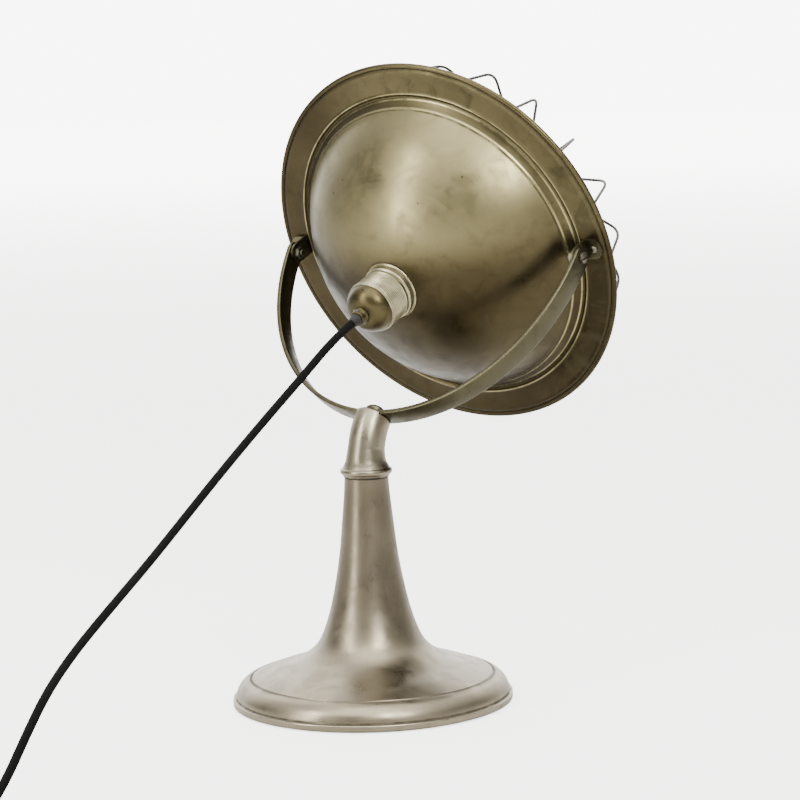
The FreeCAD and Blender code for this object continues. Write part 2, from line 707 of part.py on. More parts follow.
# ---------------------------------------------------------------- guard
def guard_wire(angle):
    """One bent wire from the rim ring to the centre ring."""
    outline = (GUARD_R, GUARD_FOOT + 0.03), GUARD_SHOULDER, GUARD_KNEE, (RING_CENTRE_R, GUARD_CROWN)
    points = [vec(r, 0, z) for r, z in outline]
    path = bent_wire_path(points, GUARD_BENDS)
    section = Part.Wire(Part.makeCircle(GUARD_WIRE_R, points[0], points[1] - points[0]))
    wire = path.makePipeShell([section], True, True)
    wire.rotate(ORIGIN, Z, angle)
    return wire


def bent_wire_path(points, bends):
    """Straight runs joined by arcs of the given radii."""
    edges = []
    start = points[0]
    for before, corner, after, radius in zip(points, points[1:], points[2:], bends):
        back = (before - corner).normalize()
        ahead = (after - corner).normalize()
        half = (math.pi - back.getAngle(ahead)) / 2
        cut = radius * math.tan(half)
        way = (back + ahead).normalize()
        centre = corner + way * (radius / math.cos(half))
        first = corner + back * cut
        last = corner + ahead * cut
        edges.append(Part.LineSegment(start, first).toShape())
        edges.append(Part.Arc(first, centre - way * radius, last).toShape())
        start = last
    edges.append(Part.LineSegment(start, points[-1]).toShape())
    return Part.Wire(edges)


def guard_wires():
    step = 360.0 / GUARD_WIRES
    wires = [guard_wire(GUARD_ANGLE + k * step) for k in range(GUARD_WIRES)]
    return in_dish(Part.makeCompound(wires))


def guard_ring(radius, height):
    return in_dish(Part.makeTorus(radius, GUARD_WIRE_R, vec(0, 0, height), Z))


def slope_height(radius):
    """Height of the wires' last run at a radius."""
    knee_r, knee_z = GUARD_KNEE
    part = (knee_r - radius) / (knee_r - RING_CENTRE_R)
    return knee_z + part * (GUARD_CROWN - knee_z)


def guard_ring_rim():
    """Ring sprung inside the rolled rim; the wires stand on it."""
    return guard_ring(GUARD_R, GUARD_FOOT - GUARD_WIRE_R)


def guard_ring_middle():
    return guard_ring(RING_MID_R, slope_height(RING_MID_R) - 2 * GUARD_WIRE_R - 0.1)


def guard_ring_centre():
    return guard_ring(RING_CENTRE_R + 2.0, slope_height(RING_CENTRE_R + 2.0) - 2 * GUARD_WIRE_R - 0.1)


# ---------------------------------------------------------------- cord and plug
def on_dish_axis(height):
    return in_dish(Part.Vertex(vec(0, 0, height))).Point


def cord():
    route = [on_dish_axis(SLEEVE_BACK), on_dish_axis(SLEEVE_BACK - 25)] + CORD_ROUTE + [LEAD_END]
    return cord_tube(route)


def coil_ring():
    low = vec(COIL_X, COIL_Y, 0.1)
    return tube(COIL_OUT_R, COIL_IN_R, low, Z, COIL_H)


def cord_tie():
    """Band round the turns of the coil."""
    half = 5.0
    outer = box(
        (COIL_X - half, COIL_Y + COIL_IN_R - 1.0, 0.1),
        (COIL_X + half, COIL_Y + COIL_OUT_R + 1.0, COIL_H + 1.1),
    )
    inner = box(
        (COIL_X - half, COIL_Y + COIL_IN_R, 0.9),
        (COIL_X + half, COIL_Y + COIL_OUT_R - 0.4, COIL_H + 0.1),
    )
    return outer.cut(inner)


def cord_coil():
    """Outer shape of the wound cord."""
    ring = coil_ring().cut(cord_tie()).cut(cord_tail())
    end = CORD_ROUTE[-1]
    return ring.cut(rod(CORD_R, end, LEAD_END - end, (LEAD_END - end).Length))


def plug_body():
    """Round two-pin plug lying on its side, cord end towards the coil."""
    outline = [
        line((0, 0), (5.2, 0)), arc((5.2, 0), (6.2, 12.0), (11.0, 18.0)),
        arc((11.0, 18.0), (14.0, 22.0), (PLUG_R, 28.0)), line((PLUG_R, 28.0), (PLUG_R, PLUG_LEN)),
        line((PLUG_R, PLUG_LEN), (0, PLUG_LEN)), line((0, PLUG_LEN), (0, 0)),
    ]
    body = spin(outline)
    body.Placement = FreeCAD.Placement(PLUG_NECK, FreeCAD.Rotation(Z, Y * -1))
    return body.cut(plug_pins())


def plug_pins():
    """Two 4.8 mm pins, 19 mm apart."""
    end = PLUG_NECK.y - PLUG_LEN - PIN_LEN
    pins = [rod(PIN_R, vec(PLUG_NECK.x + s * 9.5, end, PLUG_NECK.z), Y, PIN_LEN + 6) for s in (-1, 1)]
    return Part.makeCompound(pins)


def cord_tail():
    """Short end of the cord from the coil into the plug."""
    run = PLUG_NECK - TAIL_START
    return rod(CORD_R, TAIL_START, run, run.Length).cut(plug_body())


# ---------------------------------------------------------------- build
def build():
    save("base_trumpet", base_trumpet())
    save("ballast", ballast())
    save("base_screws", base_screws())
    save("base_felt", base_felt())
    save("swivel_bush", swivel_bush())
    save("thrust_washer", thrust_washer())
    save("elbow", elbow())
    save("spigot_washer", spigot_washer())
    save("spigot_nut", spigot_nut())
    save("yoke", yoke())
    save("yoke_washer", yoke_washer())
    save("yoke_bolt", yoke_bolt())
    save("reflector", reflector())
    save("rim_wire", rim_wire())
    for name, side in (("left", 1), ("right", -1)):
        save("bracket_" + name, bracket(side))
        save("rivet_" + name, rivet(side))
        save("pivot_screw_" + name, pivot_screw(side))
        save("pivot_washer_" + name, pivot_washer(side))
        save("pivot_nut_" + name, pivot_nut(side))
    save("socket_collar", socket_collar())
    save("collar_grub_screw", collar_grub_screw())
    save("socket_shell", socket_shell())
    save("cap_ring", cap_ring())
    save("socket_cap", socket_cap())
    save("cord_bush", cord_bush())
    save("bush_screw", bush_screw())
    save("porcelain_insert", porcelain_insert())
    save("lamp_screw_shell", lamp_screw_shell())
    save("centre_contact", centre_contact())
    save("terminal_screws", terminal_screws())
    save("cord_sleeve", cord_sleeve())
    save("cord_inner", cord_inner())
    save("bulb_cap", bulb_cap())
    save("bulb_glass", bulb_glass())
    save("bulb_stem", bulb_stem())
    save("filament", filament())
    save("guard_ring_rim", guard_ring_rim())
    save("guard_wires", guard_wires())
    save("guard_ring_middle", guard_ring_middle())
    save("guard_ring_centre", guard_ring_centre())
    save("cord", cord())
    save("cord_coil", cord_coil())
    save("cord_tail", cord_tail())
    save("cord_tie", cord_tie())
    save("plug_body", plug_body())
    save("plug_pins", plug_pins())


build()
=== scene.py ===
import math

import bmesh
import bpy
from mathutils import Matrix, Vector, noise

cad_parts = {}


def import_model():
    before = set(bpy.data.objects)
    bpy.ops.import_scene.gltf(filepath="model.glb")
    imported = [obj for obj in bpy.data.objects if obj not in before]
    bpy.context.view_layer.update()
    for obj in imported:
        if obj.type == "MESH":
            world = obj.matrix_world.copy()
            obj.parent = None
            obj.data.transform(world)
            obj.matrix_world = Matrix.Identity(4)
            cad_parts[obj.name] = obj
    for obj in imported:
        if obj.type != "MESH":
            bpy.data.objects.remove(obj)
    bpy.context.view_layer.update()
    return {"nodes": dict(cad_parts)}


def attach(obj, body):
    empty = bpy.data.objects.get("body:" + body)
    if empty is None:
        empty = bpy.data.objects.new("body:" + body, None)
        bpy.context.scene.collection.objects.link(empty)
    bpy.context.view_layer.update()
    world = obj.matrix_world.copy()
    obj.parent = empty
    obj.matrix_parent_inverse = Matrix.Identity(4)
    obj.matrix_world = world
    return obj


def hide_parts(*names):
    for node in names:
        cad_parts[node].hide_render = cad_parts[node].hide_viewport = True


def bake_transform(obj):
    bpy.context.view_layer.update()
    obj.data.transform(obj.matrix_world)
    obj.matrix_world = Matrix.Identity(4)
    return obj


# Table lamp made from a bowl heater. The CAD model gives every place and size; this script makes
# the finer surfaces, the cord and the materials. Lengths are written in millimetres and turned
# into metres where the meshes are made. Colours are linear (red, green, blue).
MM = 0.001

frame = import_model()

# ---------------------------------------------------------------- places shared with the CAD model
PIVOT = Vector((0.0, -98.608, 353.345)) * MM
TILT = math.radians(22.8)       # the dish's axis above level
LEAN = math.radians(35.0)       # the yoke's arms forward of upright
PIVOT_BEHIND = 18.0             # from the plane of the dish's rim back to the pivots
STAND = Matrix.Identity(4)
YOKE = Matrix.Translation(PIVOT) @ Matrix.Rotation(LEAN, 4, "X")
DISH = (
    Matrix.Translation(PIVOT)
    @ Matrix.Rotation(math.pi / 2 - TILT, 4, "X")
    @ Matrix.Translation((0, 0, PIVOT_BEHIND * MM))
)

YOKE_INNER_X = 143.3            # half axes of the ellipse inside the yoke's strap
YOKE_INNER_Z = 158.7
YOKE_RISE = 9.2                 # centre of that ellipse above the pivots
STRAP_HALF_WIDTH = 9.0
STRAP_HALF_THICK = 1.75
STRAP_EASE = 0.45

DOME_RIM_R = 126.5
DOME_DEPTH = 73.7
DOME_BACK = -82.5               # rearmost point of the dome, on the dish's axis
DOME_R = (DOME_RIM_R ** 2 + DOME_DEPTH ** 2) / (2 * DOME_DEPTH)
DISH_SHEET = 1.0

GUARD_WIRES = 20
GUARD_WIRE_R = 1.15
GUARD_ANGLE = 4.8               # first wire, in degrees round the dish's axis
GUARD_FOOT = (155.5, 3.4)       # corners of one wire as (r, z) on the dish's axis
GUARD_SHOULDER = (138.0, 56.0)
GUARD_KNEE = (90.0, 84.0)
GUARD_CROWN = (22.0, 98.0)
RING_DROP = 2.4                 # from the wires' middle line back to the rings'

CORD_R = 3.2
COIL_X, COIL_Y = -33.0, 521.0
COIL_MID_R = 35.2
LANE = 6.5                      # spacing of the turns in the coil
TAIL_X = COIL_X - COIL_MID_R - 1.5 * LANE
PLUG_X = COIL_X - COIL_MID_R - 9.7
PLUG_Z = 15.2

BACKDROP = (1.0, 0.995, 0.985)
BACKDROP_LIGHT = 8.0
SURROUNDINGS_LIGHT = 4.0


# ---------------------------------------------------------------- camera and light
def camera():
    """Camera behind the lamp and to its left, turned slightly about its own axis."""
    around = math.radians(216.48)
    above = math.radians(6.87)
    roll = math.radians(1.71)
    distance, aside, down = 2070.7, 28.75, 38.87
    target = Vector((0, 0, 282.5))
    back = Vector((math.sin(around) * math.cos(above), -math.cos(around) * math.cos(above), math.sin(above)))
    right = Vector((math.cos(around), math.sin(around), 0))
    up = back.cross(right)
    place = target + back * distance + right * aside - up * down
    x_axis = right * math.cos(roll) - up * math.sin(roll)
    y_axis = right * math.sin(roll) + up * math.cos(roll)
    data = bpy.data.cameras.new("camera")
    data.sensor_width = 36.0
    data.lens = 117.0
    data.clip_start = 0.05
    data.clip_end = 100.0
    thing = bpy.data.objects.new("camera", data)
    bpy.context.scene.collection.objects.link(thing)
    thing.matrix_world = Matrix.Translation(place * MM) @ Matrix((x_axis, y_axis, back)).transposed().to_4x4()
    bpy.context.scene.camera = thing


def area_light(name, place, size, power, colour=(1, 1, 1)):
    """Rectangular soft light aimed at the middle of the lamp; size is (width, height) in metres."""
    data = bpy.data.lights.new(name, "AREA")
    data.shape = "RECTANGLE"
    data.size, data.size_y = size
    data.energy = power
    data.color = colour
    thing = bpy.data.objects.new(name, data)
    bpy.context.scene.collection.objects.link(thing)
    thing.location = place
    way = Vector((0, 0, 0.28)) - Vector(place)
    thing.rotation_euler = way.to_track_quat("-Z", "Y").to_euler()


def lights():
    """A small lamp on the left, a large one overhead and a tall one on the right."""
    warm = (1.0, 0.985, 0.95)
    area_light("light_key", (-1.85, 1.25, 1.65), (0.9, 0.9), 50, warm)
    area_light("light_top", (-0.5, 1.0, 2.4), (2.4, 2.4), 62)
    area_light("light_side", (0.70, 1.95, 1.05), (0.5, 2.0), 46, warm)


def world():
    """Grey surroundings with one pale wall and a paler ceiling; the camera sees a plain backdrop."""
    surroundings = bpy.data.worlds.new("world")
    bpy.context.scene.world = surroundings
    surroundings.use_nodes = True
    tree = surroundings.node_tree
    background = tree.nodes["Background"]
    way = node(tree, "ShaderNodeTexCoord").outputs["Generated"]
    wall = Vector((0.59, -0.80, 0.60)).normalized()
    facing = node(tree, "ShaderNodeVectorMath", {0: way, 1: wall}, operation="DOT_PRODUCT").outputs["Value"]
    overhead = remap(tree, split(tree, way)[2], 0.35, 0.90, 0.0, 0.45)
    share = highest(tree, remap(tree, facing, 0.40, 0.95), overhead)
    colour = mix(tree, share, (0.125, 0.122, 0.117), (1.0, 0.99, 0.975))
    tree.links.new(colour, background.inputs["Color"])
    background.inputs["Strength"].default_value = SURROUNDINGS_LIGHT
    backdrop = node(tree, "ShaderNodeBackground", {"Color": (*BACKDROP, 1), "Strength": BACKDROP_LIGHT})
    seen = node(tree, "ShaderNodeLightPath").outputs["Is Camera Ray"]
    choice = node(tree, "ShaderNodeMixShader", {0: seen, 1: background.outputs[0], 2: backdrop.outputs[0]})
    tree.links.new(choice.outputs[0], tree.nodes["World Output"].inputs["Surface"])


# ---------------------------------------------------------------- shader helpers
def node(tree, kind, inputs=None, **settings):
    """Add a node; inputs maps a socket's name or number to a value or to another node's output."""
    new = tree.nodes.new(kind)
    for key, value in settings.items():
        setattr(new, key, value)
    for key, value in (inputs or {}).items():
        if isinstance(value, bpy.types.NodeSocket):
            tree.links.new(value, new.inputs[key])
        elif value is not None:
            new.inputs[key].default_value = value
    return new


def maths(tree, operation, a, b=None):
    return node(tree, "ShaderNodeMath", {0: a, 1: b}, operation=operation).outputs[0]


def plus(tree, a, b):
    return maths(tree, "ADD", a, b)


def minus(tree, a, b):
    return maths(tree, "SUBTRACT", a, b)


def times(tree, a, b):
    return maths(tree, "MULTIPLY", a, b)


def highest(tree, *values):
    """The largest of several masks."""
    total = values[0]
    for value in values[1:]:
        total = maths(tree, "MAXIMUM", total, value)
    return total


def remap(tree, value, low, high, out_low=0.0, out_high=1.0):
    """Smooth step from out_low at low to out_high at high; low may be the larger."""
    inputs = {0: value, 1: low, 2: high, 3: out_low, 4: out_high}
    return node(tree, "ShaderNodeMapRange", inputs, interpolation_type="SMOOTHSTEP", clamp=True).outputs[0]


def fade(tree, value, start, end, out_start=0.0, out_end=1.0):
    """Smooth step of a length, with start and end in millimetres."""
    return remap(tree, value, start * MM, end * MM, out_start, out_end)


def band(tree, value, centre, half):
    """1 at centre (mm), falling to 0 at half (mm) away."""
    away = maths(tree, "ABSOLUTE", minus(tree, value, centre * MM))
    return fade(tree, away, 0.0, half, 1.0, 0.0)


def mix(tree, factor, a, b, blend="MIX"):
    """Mix two colours; a and b are (r, g, b) or sockets."""
    new = tree.nodes.new("ShaderNodeMix")
    new.data_type = "RGBA"
    new.blend_type = blend
    for key, value in ((0, factor), (6, a), (7, b)):
        if isinstance(value, bpy.types.NodeSocket):
            tree.links.new(value, new.inputs[key])
        else:
            new.inputs[key].default_value = value if key == 0 else (*value, 1.0)
    return new.outputs[2]


def cloud(tree, vector, scale, detail=4.0, rough=0.55, distortion=0.0):
    inputs = {
        "Vector": vector, "Scale": scale, "Detail": detail, "Roughness": rough, "Distortion": distortion,
    }
    return node(tree, "ShaderNodeTexNoise", inputs).outputs["Fac"]


def split(tree, vector):
    parts = node(tree, "ShaderNodeSeparateXYZ", {0: vector})
    return parts.outputs[0], parts.outputs[1], parts.outputs[2]


def radius_of(tree, x, y):
    return maths(tree, "SQRT", plus(tree, times(tree, x, x), times(tree, y, y)))


def bump(tree, shader, height, strength, distance):
    new = node(tree, "ShaderNodeBump", {"Height": height, "Strength": strength, "Distance": distance})
    tree.links.new(new.outputs[0], shader.inputs["Normal"])


def material(name):
    """New material with its tree, its shader and the object's own coordinates in metres."""
    new = bpy.data.materials.new(name)
    new.use_nodes = True
    tree = new.node_tree
    shader = tree.nodes["Principled BSDF"]
    where = node(tree, "ShaderNodeTexCoord").outputs["Object"]
    return new, tree, shader, where


# ---------------------------------------------------------------- old metal
def brush_lines(tree, where, r, z, spun):
    """Fine lines round the axis of a spun piece, or across y on another."""
    if spun:
        rings = node(tree, "ShaderNodeCombineXYZ", {0: r, 1: z, 2: 0.0}).outputs[0]
        return cloud(tree, rings, 900.0, 2.0, 0.7)
    stretched = node(tree, "ShaderNodeMapping", {"Vector": where, "Scale": (40.0, 900.0, 40.0)}).outputs[0]
    return cloud(tree, stretched, 1.0, 2.0, 0.7)


def pit_mask(tree, where, pits, scale):
    """Small round pits of random size, one at most in each cell of a Voronoi pattern."""
    holes = node(tree, "ShaderNodeTexVoronoi", {"Vector": where, "Scale": 90.0 * scale}, feature="F1")
    chance = split(tree, holes.outputs["Color"])[0]
    size = remap(tree, chance, 0.40, 1.00, 0.0, 0.22 * pits)
    pit = remap(tree, minus(tree, size, holes.outputs["Distance"]), 0.0, 0.03)
    return times(tree, pit, 0.8)


def aged_metal(
    name, light, dark, tint, rough, spun=True, dirt=None, worn=None, painted_dark_reflection=None, pits=0.5, scale=1.0,
):
    """Old nickel or brass: cloudy tarnish, fine brushing, pits, with dirt, worn places and painted dark
    reflections by position.

    dirt, worn and the painted dark reflection are functions of (tree, x, y, z, r) that give a mask; the
    painted dark reflection is painted shade, which turns the colour dark brown where the metal would reflect
    something dark."""
    new, tree, shader, where = material(name)
    x, y, z = split(tree, where)
    r = radius_of(tree, x, y)
    broad = cloud(tree, where, 9.0 * scale, 3.0, 0.5, 0.4)
    blotch = cloud(tree, where, 46.0 * scale, 6.0, 0.62, 0.6)
    lines = brush_lines(tree, where, r, z, spun)
    colour = mix(tree, remap(tree, broad, 0.34, 0.66), dark, light)
    colour = mix(tree, remap(tree, blotch, 0.46, 0.72, 0.0, 0.55), colour, tint)
    colour = mix(tree, remap(tree, lines, 0.35, 0.75, 0.0, 0.10), colour, light)
    roughness = remap(tree, blotch, 0.3, 0.75, rough - 0.05, rough + 0.12)
    roughness = plus(tree, roughness, remap(tree, lines, 0.3, 0.7, -0.015, 0.025))
    if painted_dark_reflection:
        # painted shade: the colour is multiplied towards dark brown, a painted dark reflection, as far as the
        # mask says
        painted_reflection_colour = mix(tree, 1.0, colour, (0.165, 0.143, 0.134), "MULTIPLY")
        colour = mix(tree, painted_dark_reflection(tree, x, y, z, r), colour, painted_reflection_colour)
    grime = tuple(0.32 * c for c in dark)
    colour = mix(tree, pit_mask(tree, where, pits, scale), colour, grime)
    if dirt:
        patchy = times(tree, dirt(tree, x, y, z, r), remap(tree, blotch, 0.30, 0.60, 0.35, 1.0))
        colour = mix(tree, patchy, colour, grime)
        roughness = plus(tree, roughness, times(tree, patchy, 0.3))
    if worn:
        rubbed = times(tree, worn(tree, x, y, z, r), remap(tree, blotch, 0.35, 0.55, 0.4, 1.0))
        colour = mix(tree, rubbed, colour, tuple(min(0.86, 1.35 * c) for c in light))
        roughness = minus(tree, roughness, times(tree, rubbed, 0.08))
    tree.links.new(colour, shader.inputs["Base Color"])
    tree.links.new(roughness, shader.inputs["Roughness"])
    shader.inputs["Metallic"].default_value = 1.0
    bump(tree, shader, plus(tree, times(tree, lines, 0.04), times(tree, blotch, 0.5)), 0.09, 0.0004)
    return new


def base_nickel():
    def dirt(tree, x, y, z, r):
        groove = times(tree, band(tree, r, 98.3, 1.9), band(tree, z, 21.0, 2.4))
        lip = times(tree, band(tree, z, 7.0, 1.5), fade(tree, r, 107.0, 110.0))
        underside = times(tree, fade(tree, z, 2.6, 0.8), 0.7)
        return highest(tree, groove, lip, underside)

    def worn(tree, x, y, z, r):
        lip = times(tree, band(tree, z, 5.6, 0.9), fade(tree, r, 111.0, 112.5))
        moulding = times(tree, band(tree, z, 19.5, 1.2), 0.3)
        return highest(tree, lip, moulding)

    # painted shade: the stem is darkened from 45 mm up, a painted dark reflection
    def painted_dark_reflection(tree, x, y, z, r):
        return fade(tree, z, 45.0, 90.0, 0.0, 0.36)

    return aged_metal(
        "base_nickel", (0.25, 0.218, 0.158), (0.20, 0.173, 0.122), (0.175, 0.147, 0.100), 0.32,
        dirt=dirt, worn=worn, painted_dark_reflection=painted_dark_reflection, pits=0.35,
    )


def dish_nickel():
    def dirt(tree, x, y, z, r):
        crease = times(tree, band(tree, r, 134.7, 1.3), 0.75)
        step = band(tree, r, 126.2, 1.0)
        rim = times(tree, band(tree, r, 157.9, 2.2), 0.8)
        where = node(tree, "ShaderNodeTexCoord").outputs["Object"]
        stain = remap(tree, cloud(tree, where, 30.0, 6.0, 0.7, 1.2), 0.50, 0.66, 0.0, 0.75)
        flange = times(tree, fade(tree, r, 133.0, 139.0), stain)
        collar = times(tree, band(tree, r, 24.5, 2.2), 0.8)
        return highest(tree, crease, step, rim, flange, collar)

    def worn(tree, x, y, z, r):
        return highest(tree, band(tree, r, 132.6, 0.9), band(tree, r, 127.3, 0.8), band(tree, r, 137.2, 0.9))

    # painted shade: a painted dark reflection, darker towards the lower part of the dome and on the flange
    # all round, a little less on the lower left
    def painted_dark_reflection(tree, x, y, z, r):
        below = fade(tree, y, 66.0, 4.0, 0.0, 0.95)
        lower_left = times(tree, fade(tree, y, -20.0, -60.0), fade(tree, x, -30.0, -65.0))
        far_left = fade(tree, x, -70.0, -115.0, 0.0, 0.6)
        spared = minus(tree, 1.0, times(tree, highest(tree, lower_left, far_left), 0.12))
        side = highest(tree, fade(tree, x, 30.0, 100.0, 0.72, 0.95), below)
        flange = times(tree, fade(tree, r, 127.0, 128.5), side)
        return highest(tree, times(tree, below, spared), flange)

    return aged_metal(
        "dish_nickel", (0.235, 0.205, 0.105), (0.168, 0.146, 0.076), (0.145, 0.121, 0.062), 0.33,
        dirt=dirt, worn=worn, painted_dark_reflection=painted_dark_reflection, pits=0.5,
    )


def yoke_nickel():
    def dirt(tree, x, y, z, r):
        return times(tree, fade(tree, z, -30.0, -6.0), 0.5)

    def worn(tree, x, y, z, r):
        return fade(tree, maths(tree, "ABSOLUTE", y), 7.8, 8.8)

    return aged_metal(
        "yoke_nickel", (0.075, 0.068, 0.040), (0.048, 0.043, 0.025), (0.040, 0.033, 0.018), 0.32, spun=False,
        dirt=dirt, worn=worn, pits=0.5,
    )


def elbow_nickel():
    def dirt(tree, x, y, z, r):
        return highest(tree, band(tree, z, 183.4, 1.4), times(tree, band(tree, z, 193.5, 3.0), 0.5))

    return aged_metal(
        "elbow_nickel", (0.27, 0.240, 0.175), (0.19, 0.167, 0.118), (0.15, 0.125, 0.08), 0.30, spun=False,
        dirt=dirt, pits=0.5,
    )


def holder_nickel():
    def dirt(tree, x, y, z, r):
        return times(tree, fade(tree, r, 21.5, 20.9), 0.75)

    def worn(tree, x, y, z, r):
        return band(tree, r, 24.0, 0.5)

    return aged_metal(
        "holder_nickel", (0.40, 0.37, 0.24), (0.28, 0.255, 0.165), (0.19, 0.16, 0.09), 0.29,
        dirt=dirt, worn=worn, pits=0.3,
    )


def old_brass():
    return aged_metal(
        "old_brass", (0.078, 0.064, 0.031), (0.050, 0.041, 0.019), (0.034, 0.026, 0.013), 0.32, pits=0.6,
    )


def screw_steel():
    return aged_metal(
        "screw_steel", (0.17, 0.158, 0.12), (0.10, 0.092, 0.068), (0.075, 0.06, 0.04), 0.38, spun=False,
        pits=0.8, scale=3.0,
    )


def guard_steel():
    return aged_metal(
        "guard_steel", (0.036, 0.033, 0.028), (0.030, 0.028, 0.024), (0.035, 0.028, 0.020), 0.42, spun=False,
        pits=0.6, scale=3.0,
    )


# ---------------------------------------------------------------- other materials
def plain(name, light, dark, rough, scale, strength, metallic=0.0):
    """Moulded, cast or pressed material with soft colour variation and a fine grain."""
    new, tree, shader, where = material(name)
    broad = cloud(tree, where, scale, 5.0)
    grain = cloud(tree, where, scale * 22.0, 3.0, 0.65)
    colour = mix(tree, remap(tree, broad, 0.3, 0.7), dark, light)
    tree.links.new(colour, shader.inputs["Base Color"])
    tree.links.new(remap(tree, grain, 0.3, 0.7, rough - 0.06, rough + 0.08), shader.inputs["Roughness"])
    shader.inputs["Metallic"].default_value = metallic
    bump(tree, shader, grain, strength, 0.0004)
    return new


def bulb_clear():
    """Clear glass with a little dust."""
    new, tree, shader, where = material("bulb_clear")
    dust = cloud(tree, where, 60.0, 5.0)
    tree.links.new(mix(tree, dust, (0.97, 0.97, 0.95), (0.90, 0.90, 0.87)), shader.inputs["Base Color"])
    tree.links.new(remap(tree, dust, 0.35, 0.75, 0.0, 0.06), shader.inputs["Roughness"])
    shader.inputs["Transmission Weight"].default_value = 1.0
    shader.inputs["IOR"].default_value = 1.46
    return new


def cord_braid():
    """Black textile braid: strands that cross in two directions round the cord."""
    new, tree, shader, where = material("cord_braid")
    u, v, _ = split(tree, node(tree, "ShaderNodeUVMap", uv_map="cord").outputs[0])
    one = maths(tree, "SINE", times(tree, plus(tree, u, v), 2 * math.pi))
    other = maths(tree, "SINE", times(tree, minus(tree, u, v), 2 * math.pi))
    ribs = remap(tree, times(tree, one, other), -0.9, 0.9)
    fuzz = cloud(tree, where, 1400.0, 2.0, 0.7)
    worn = cloud(tree, where, 30.0, 3.0)
    colour = mix(tree, ribs, (0.002, 0.002, 0.002), (0.008, 0.008, 0.0075))
    greyed = remap(tree, plus(tree, fuzz, worn), 1.0, 1.3, 0.0, 0.4)
    colour = mix(tree, greyed, colour, (0.012, 0.0115, 0.011))
    tree.links.new(colour, shader.inputs["Base Color"])
    tree.links.new(remap(tree, fuzz, 0.3, 0.7, 0.70, 0.9), shader.inputs["Roughness"])
    shader.inputs["Specular IOR Level"].default_value = 0.04
    bump(tree, shader, plus(tree, ribs, times(tree, fuzz, 0.4)), 0.6, 0.0005)
    return new


def floor_white():
    """White floor that meets the backdrop without a line: seen by the camera, it glows far away."""
    new, tree, shader, where = material("floor_white")
    broad = cloud(tree, where, 1.5, 3.0)
    tree.links.new(mix(tree, broad, (0.72, 0.71, 0.69), (0.76, 0.75, 0.73)), shader.inputs["Base Color"])
    shader.inputs["Roughness"].default_value = 0.95
    shader.inputs["Specular IOR Level"].default_value = 0.1
    x, y, _ = split(tree, where)
    seen = node(tree, "ShaderNodeLightPath").outputs["Is Camera Ray"]
    glow = remap(tree, radius_of(tree, x, y), 0.8, 14.0, 2.6, BACKDROP_LIGHT - 1.4)
    tree.links.new(times(tree, seen, glow), shader.inputs["Emission Strength"])
    shader.inputs["Emission Color"].default_value = (*BACKDROP, 1)
    return new


# Every material of the lamp, by the name of its slot.
PAINT = {
    "cord_braid": cord_braid(),
    "base_nickel": base_nickel(),
    "dish_nickel": dish_nickel(),
    "yoke_nickel": yoke_nickel(),
    "elbow_nickel": elbow_nickel(),
    "holder_nickel": holder_nickel(),
    "old_brass": old_brass(),
    "screw_steel": screw_steel(),
    "guard_steel": guard_steel(),
    "bulb_clear": bulb_clear(),
    "iron": plain("iron", (0.10, 0.095, 0.09), (0.05, 0.047, 0.045), 0.7, 60.0, 0.5, 0.6),
    "felt": plain("felt", (0.07, 0.085, 0.06), (0.045, 0.055, 0.04), 0.92, 90.0, 0.9),
    "fibre": plain("fibre", (0.045, 0.035, 0.028), (0.028, 0.021, 0.017), 0.6, 120.0, 0.3),
    "porcelain": plain("porcelain", (0.80, 0.78, 0.71), (0.72, 0.70, 0.63), 0.18, 30.0, 0.05),
    "sleeve_rubber": plain("sleeve_rubber", (0.006, 0.006, 0.006), (0.004, 0.004, 0.004), 0.75, 90.0, 0.25),
    "plug_plastic": plain("plug_plastic", (0.035, 0.026, 0.020), (0.020, 0.015, 0.012), 0.26, 50.0, 0.05),
}


# ---------------------------------------------------------------- outlines and lines
def through(points, steps):
    """Smooth line through (r, z) points, by Catmull-Rom."""
    line = []
    padded = [points[0], *points, points[-1]]
    for k in range(len(points) - 1):
        a, b, c, d = (Vector(p) for p in padded[k:k + 4])
        for s in range(steps):
            t = s / steps
            square = (2 * a - 5 * b + 4 * c - d) * t * t
            cube = (3 * b - 3 * c + d - a) * t ** 3
            line.append(0.5 * (2 * b + (c - a) * t + square + cube))
    line.append(Vector(points[-1]))
    return [(p[0], p[1]) for p in line]


def arc(a, middle, b, steps):
    """Points on the circle through three (r, z) points, ends included."""
    (ax, ay), (mx, my), (bx, by) = a, middle, b
    d = 2 * (ax * (my - by) + mx * (by - ay) + bx * (ay - my))
    sa, sm, sb = ax * ax + ay * ay, mx * mx + my * my, bx * bx + by * by
    cx = (sa * (my - by) + sm * (by - ay) + sb * (ay - my)) / d
    cy = (sa * (bx - mx) + sm * (ax - bx) + sb * (mx - ax)) / d
    radius = math.hypot(ax - cx, ay - cy)
    start = math.atan2(ay - cy, ax - cx)
    to_middle = (math.atan2(my - cy, mx - cx) - start) % (2 * math.pi)
    turn = (math.atan2(by - cy, bx - cx) - start) % (2 * math.pi)
    if to_middle > turn:
        turn -= 2 * math.pi
    return [
        (cx + radius * math.cos(start + turn * k / steps), cy + radius * math.sin(start + turn * k / steps))
        for k in range(steps + 1)
    ]


def bent(points, bends, steps=10):
    """Points along straight runs joined by arcs of the given radii (mm)."""
    line = [Vector(points[0])]
    for before, corner, after, radius in zip(points, points[1:], points[2:], bends):
        before, corner, after = Vector(before), Vector(corner), Vector(after)
        back = (before - corner).normalized()
        ahead = (after - corner).normalized()
        half = (math.pi - back.angle(ahead)) / 2
        cut = radius * math.tan(half)
        way = (back + ahead).normalized()
        centre = corner + way * (radius / math.cos(half))
        start, end = corner + back * cut, corner + ahead * cut
        line += [Vector(p) for p in arc(start, centre - way * radius, end, steps)]
    line.append(Vector(points[-1]))
    return line


